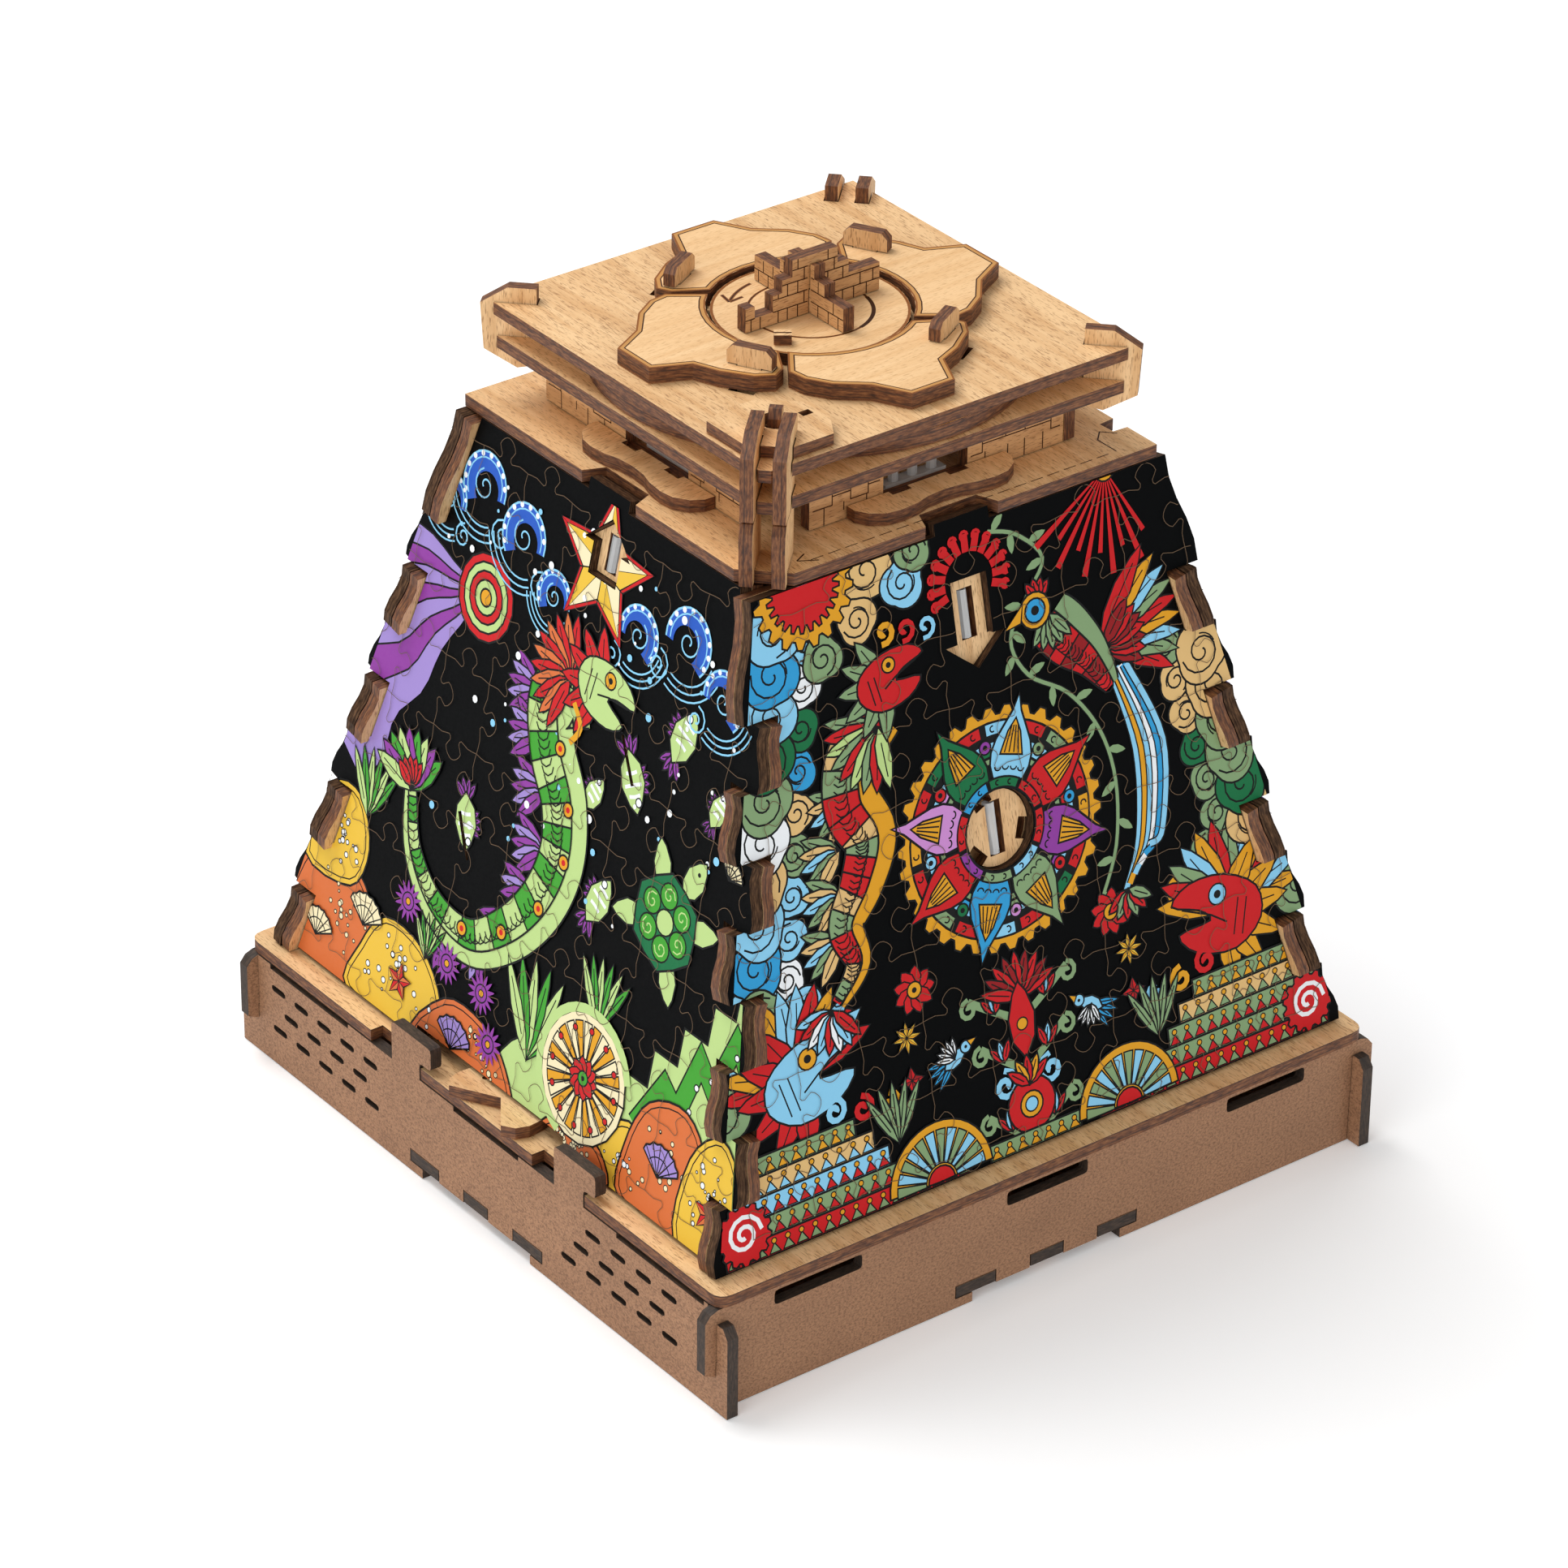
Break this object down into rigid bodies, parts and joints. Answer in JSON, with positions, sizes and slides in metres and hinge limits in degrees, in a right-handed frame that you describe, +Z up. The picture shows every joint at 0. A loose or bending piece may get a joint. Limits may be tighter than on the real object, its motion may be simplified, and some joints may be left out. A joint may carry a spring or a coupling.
{
  "type": "wooden puzzle box",
  "caption": "Laser-cut puzzle box: square plinth, truncated-pyramid lid with printed faces, and a cap with a turning dial, sliding petals, latches and a lock pin.",
  "frame": {"origin": "centre of the footprint on the surface the box stands on", "axes": "+Z up; -Y out of the front face with the wheel; -X out of the left face"},
  "size_m": [0.2066, 0.2066, 0.2357],
  "materials": {
    "birch_ply": "sanded plywood with laser-charred edges",
    "mdf": "raw brown fibreboard with charred edges",
    "printed_panel": "screen-printed satin lacquer over plywood",
    "clear_acrylic": "clear polished"
  },
  "bodies": {
    "plinth": {"plinth_wall_front": "mdf", "plinth_wall_right": "mdf", "plinth_wall_back": "mdf", "plinth_wall_left": "mdf", "plinth_floor": "mdf"},
    "lid": {"lid_base_plate": "birch_ply", "backing_front": "birch_ply", "backing_right": "birch_ply", "backing_back": "birch_ply", "backing_left": "birch_ply", "face_front": "printed_panel", "face_right": "printed_panel", "face_back": "printed_panel", "face_left": "printed_panel", "collar_plate": "birch_ply", "brick_wall_front": "birch_ply", "brick_wall_right": "birch_ply", "brick_wall_back": "birch_ply", "brick_wall_left": "birch_ply", "pin_rack_front": "clear_acrylic", "pin_rack_left": "clear_acrylic", "lower_clamp_left": "birch_ply", "lower_clamp_right": "birch_ply", "cap_lower_plate": "birch_ply", "cap_top_plate": "birch_ply", "corner_plate": "birch_ply", "bracket_left": "birch_ply", "bracket_right": "birch_ply", "bracket_far_a": "birch_ply", "bracket_far_b": "birch_ply", "bracket_near_a": "birch_ply", "bracket_near_b": "birch_ply"},
    "key": {"slide_key": "birch_ply"},
    "rotor_disc": {"rotor": "birch_ply"},
    "dial": {"dial_disc": "birch_ply", "dial_axle": "birch_ply", "step_cross_a": "birch_ply", "step_cross_b": "birch_ply", "dial_nub": "birch_ply"},
    "wheel": {"wheel_disc": "birch_ply", "wheel_rod": "clear_acrylic", "wheel_retainer": "birch_ply"},
    "front_arrow": {"arrow_front": "birch_ply", "arrow_rod_front": "clear_acrylic"},
    "left_arrow": {"arrow_left": "birch_ply", "arrow_rod_left": "clear_acrylic"},
    "lock_pin": {"corner_lock": "birch_ply"},
    "front_latch": {"latch_front": "birch_ply"},
    "front_petal": {"petal_front": "birch_ply", "handle_front": "birch_ply"},
    "right_latch": {"latch_right": "birch_ply"},
    "right_petal": {"petal_right": "birch_ply", "handle_right": "birch_ply"},
    "back_latch": {"latch_back": "birch_ply"},
    "back_petal": {"petal_back": "birch_ply", "handle_back": "birch_ply"},
    "left_latch": {"latch_left": "birch_ply"},
    "left_petal": {"petal_left": "birch_ply", "handle_left": "birch_ply"}
  },
  "joints": [
    {"name": "lid_slide", "type": "slide", "parent": "plinth", "child": "lid", "axis": [0, -1, 0], "range_m": [0, 0.0092]},
    {"name": "key_slide", "type": "slide", "parent": "lid", "child": "key", "axis": [-1, 0, 0], "range_m": [0, 0.03]},
    {"name": "front_latch_slide", "type": "slide", "parent": "lid", "child": "front_latch", "axis": [0, -1, 0], "range_m": [0, 0.006]},
    {"name": "right_latch_slide", "type": "slide", "parent": "lid", "child": "right_latch", "axis": [1, 0, 0], "range_m": [0, 0.006]},
    {"name": "back_latch_slide", "type": "slide", "parent": "lid", "child": "back_latch", "axis": [0, 1, 0], "range_m": [0, 0.006]},
    {"name": "left_latch_slide", "type": "slide", "parent": "lid", "child": "left_latch", "axis": [-1, 0, 0], "range_m": [0, 0.006]},
    {"name": "rotor_turn", "type": "hinge", "parent": "lid", "child": "rotor_disc", "pos_m": [0, 0, 0.2109], "axis": [0, 0, 1], "continuous": true},
    {"name": "dial_turn", "type": "hinge", "parent": "lid", "child": "dial", "pos_m": [0, 0, 0.219], "axis": [0, 0, 1], "continuous": true},
    {"name": "front_petal_slide", "type": "slide", "parent": "lid", "child": "front_petal", "axis": [0.4879, -0.8729, 0], "range_m": [0, 0.0045]},
    {"name": "right_petal_slide", "type": "slide", "parent": "lid", "child": "right_petal", "axis": [0.8729, 0.4879, 0], "range_m": [0, 0.0045]},
    {"name": "back_petal_slide", "type": "slide", "parent": "lid", "child": "back_petal", "axis": [-0.4879, 0.8729, 0], "range_m": [0, 0.0045]},
    {"name": "left_petal_slide", "type": "slide", "parent": "lid", "child": "left_petal", "axis": [-0.8729, -0.4879, 0], "range_m": [0, 0.0045]},
    {"name": "wheel_turn", "type": "hinge", "parent": "lid", "child": "wheel", "pos_m": [0.0005, -0.07228, 0.11249], "axis": [0, -0.9757, 0.2193], "continuous": true},
    {"name": "front_arrow_pull", "type": "slide", "parent": "lid", "child": "front_arrow", "axis": [0, -0.9757, 0.2193], "range_m": [0, 0.006]},
    {"name": "left_arrow_pull", "type": "slide", "parent": "lid", "child": "left_arrow", "axis": [-0.9757, 0, 0.2193], "range_m": [0, 0.006]},
    {"name": "lock_pin_slide", "type": "slide", "parent": "lid", "child": "lock_pin", "axis": [0.7071, 0.7071, 0], "range_m": [0, 0.0036]}
  ]
}
